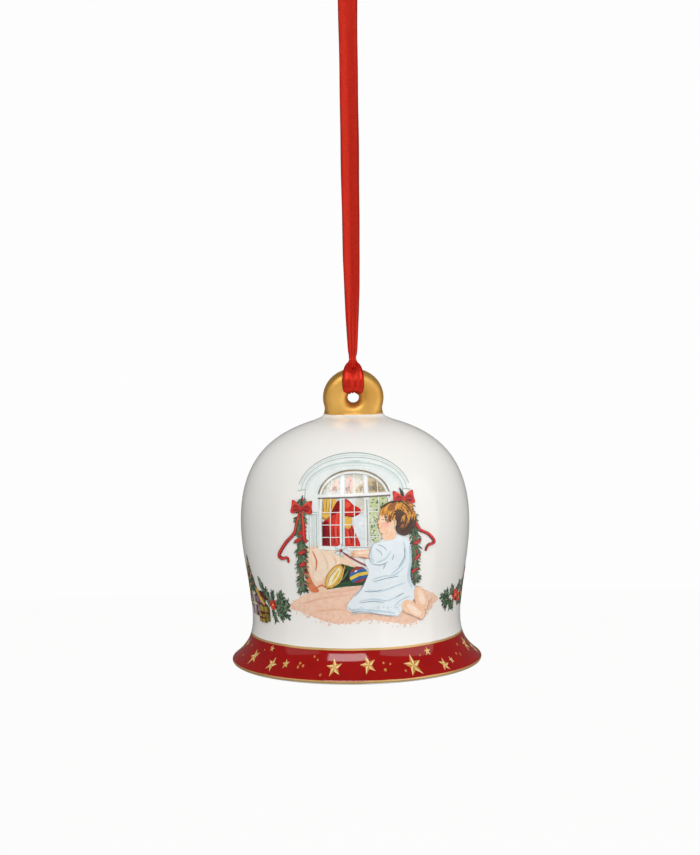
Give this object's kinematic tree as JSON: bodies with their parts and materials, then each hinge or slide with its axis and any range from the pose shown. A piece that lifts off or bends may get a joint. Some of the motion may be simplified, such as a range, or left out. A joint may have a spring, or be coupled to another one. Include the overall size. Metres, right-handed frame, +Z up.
{
  "type": "christmas bell ornament",
  "caption": "Glazed porcelain bell with a gilded crown loop, red star band, printed winter picture, satin ribbon loop and a swinging bead clapper.",
  "frame": {"origin": "the hang point: the inside top of the ribbon loop, under the knot, where a hook or twig bears", "axes": "+Z up along the ribbon and the bell's axis, +X to the right across the ribbon's width and the crown's face, +Y to the back"},
  "size_m": [0.0684, 0.0684, 0.2046],
  "materials": {
    "white_porcelain": "clear glossy glaze over white porcelain",
    "gilded_porcelain": "satin gold lustre fired over the glaze",
    "red_enamel": "glossy dark red overglaze enamel",
    "printed_enamel": "printed overglaze picture, glossy",
    "cement": "matt white cement",
    "brass_wire": "drawn wire, slightly dulled",
    "satin_ribbon": "woven polyester satin"
  },
  "bodies": {
    "ribbon_top": {"ribbon_knot": "satin_ribbon", "ribbon_tail_left": "satin_ribbon", "ribbon_tail_right": "satin_ribbon"},
    "ribbon": {"ribbon_strand_front": "satin_ribbon", "ribbon_strand_back": "satin_ribbon"},
    "hitch": {"ribbon_hitch": "satin_ribbon"},
    "bell": {"crown_loop": "gilded_porcelain", "bell_shell": "white_porcelain", "clapper_cement": "cement", "clapper_staple": "brass_wire"},
    "link": {"clapper_link": "brass_wire"},
    "clapper": {"clapper_stem": "brass_wire", "clapper_bead": "white_porcelain"}
  },
  "joints": [
    {"name": "ribbon_swing", "type": "hinge", "parent": "ribbon_top", "child": "ribbon", "pos_m": [0, 0, 0], "axis": [1, 0, 0], "range_deg": [-25, 25]},
    {"name": "ribbon_twist", "type": "hinge", "parent": "ribbon", "child": "hitch", "pos_m": [0, 0, -0.114], "axis": [0, 0, 1], "range_deg": [-90, 90]},
    {"name": "bell_rock", "type": "hinge", "parent": "hitch", "child": "bell", "pos_m": [0, 0, -0.126], "axis": [0, 1, 0], "range_deg": [-20, 20]},
    {"name": "link_swing", "type": "hinge", "parent": "bell", "child": "link", "pos_m": [0, 0, -0.14158], "axis": [1, 0, 0], "range_deg": [-22, 22]},
    {"name": "clapper_swing", "type": "hinge", "parent": "link", "child": "clapper", "pos_m": [0, 0, -0.14638], "axis": [0, 1, 0], "range_deg": [-22, 22]}
  ]
}
